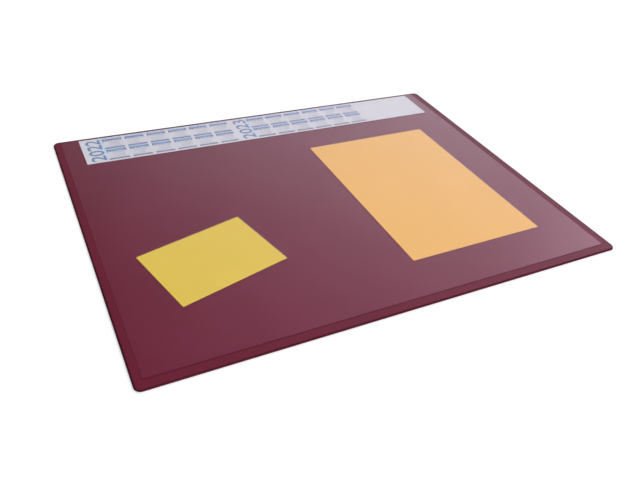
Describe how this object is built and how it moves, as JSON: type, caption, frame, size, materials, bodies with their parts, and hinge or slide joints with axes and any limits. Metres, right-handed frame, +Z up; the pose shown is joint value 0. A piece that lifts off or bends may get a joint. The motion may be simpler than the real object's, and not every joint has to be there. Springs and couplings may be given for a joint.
{
  "type": "desk pad calendar",
  "caption": "Flat rectangular desk mat with a rounded contoured edge, a clear cover film, a printed year strip along the back and loose note sheets under the film.",
  "frame": {"origin": "centre of the underside", "axes": "+X along the long side, to the right as the calendar is read; +Y from the front edge towards the calendar strip; +Z up from the desk"},
  "size_m": [0.65, 0.5, 0.0026],
  "materials": {
    "mat": "satin",
    "film": "gloss",
    "strip": "matte",
    "print": "matte",
    "rule": "matte",
    "note_sheet": "matte",
    "note_card": "matte"
  },
  "bodies": {
    "root": {"base_mat": "mat", "cover_film": "film", "calendar_strip": "strip", "month_2022_01": "print", "month_2022_02": "print", "month_2022_03": "print", "month_2022_04": "print", "month_2022_05": "print", "month_2022_06": "print", "month_2022_07": "print", "month_2022_08": "print", "month_2022_09": "print", "month_2022_10": "print", "month_2022_11": "print", "month_2022_12": "print", "month_2023_01": "print", "month_2023_02": "print", "month_2023_03": "print", "month_2023_04": "print", "month_2023_05": "print", "month_2023_06": "print", "month_2023_07": "print", "month_2023_08": "print", "month_2023_09": "print", "month_2023_10": "print", "month_2023_11": "print", "month_2023_12": "print", "year_rule_2022": "rule", "year_rule_2023": "rule", "note_sheet": "note_sheet", "note_card": "note_card"}
  },
  "joints": []
}
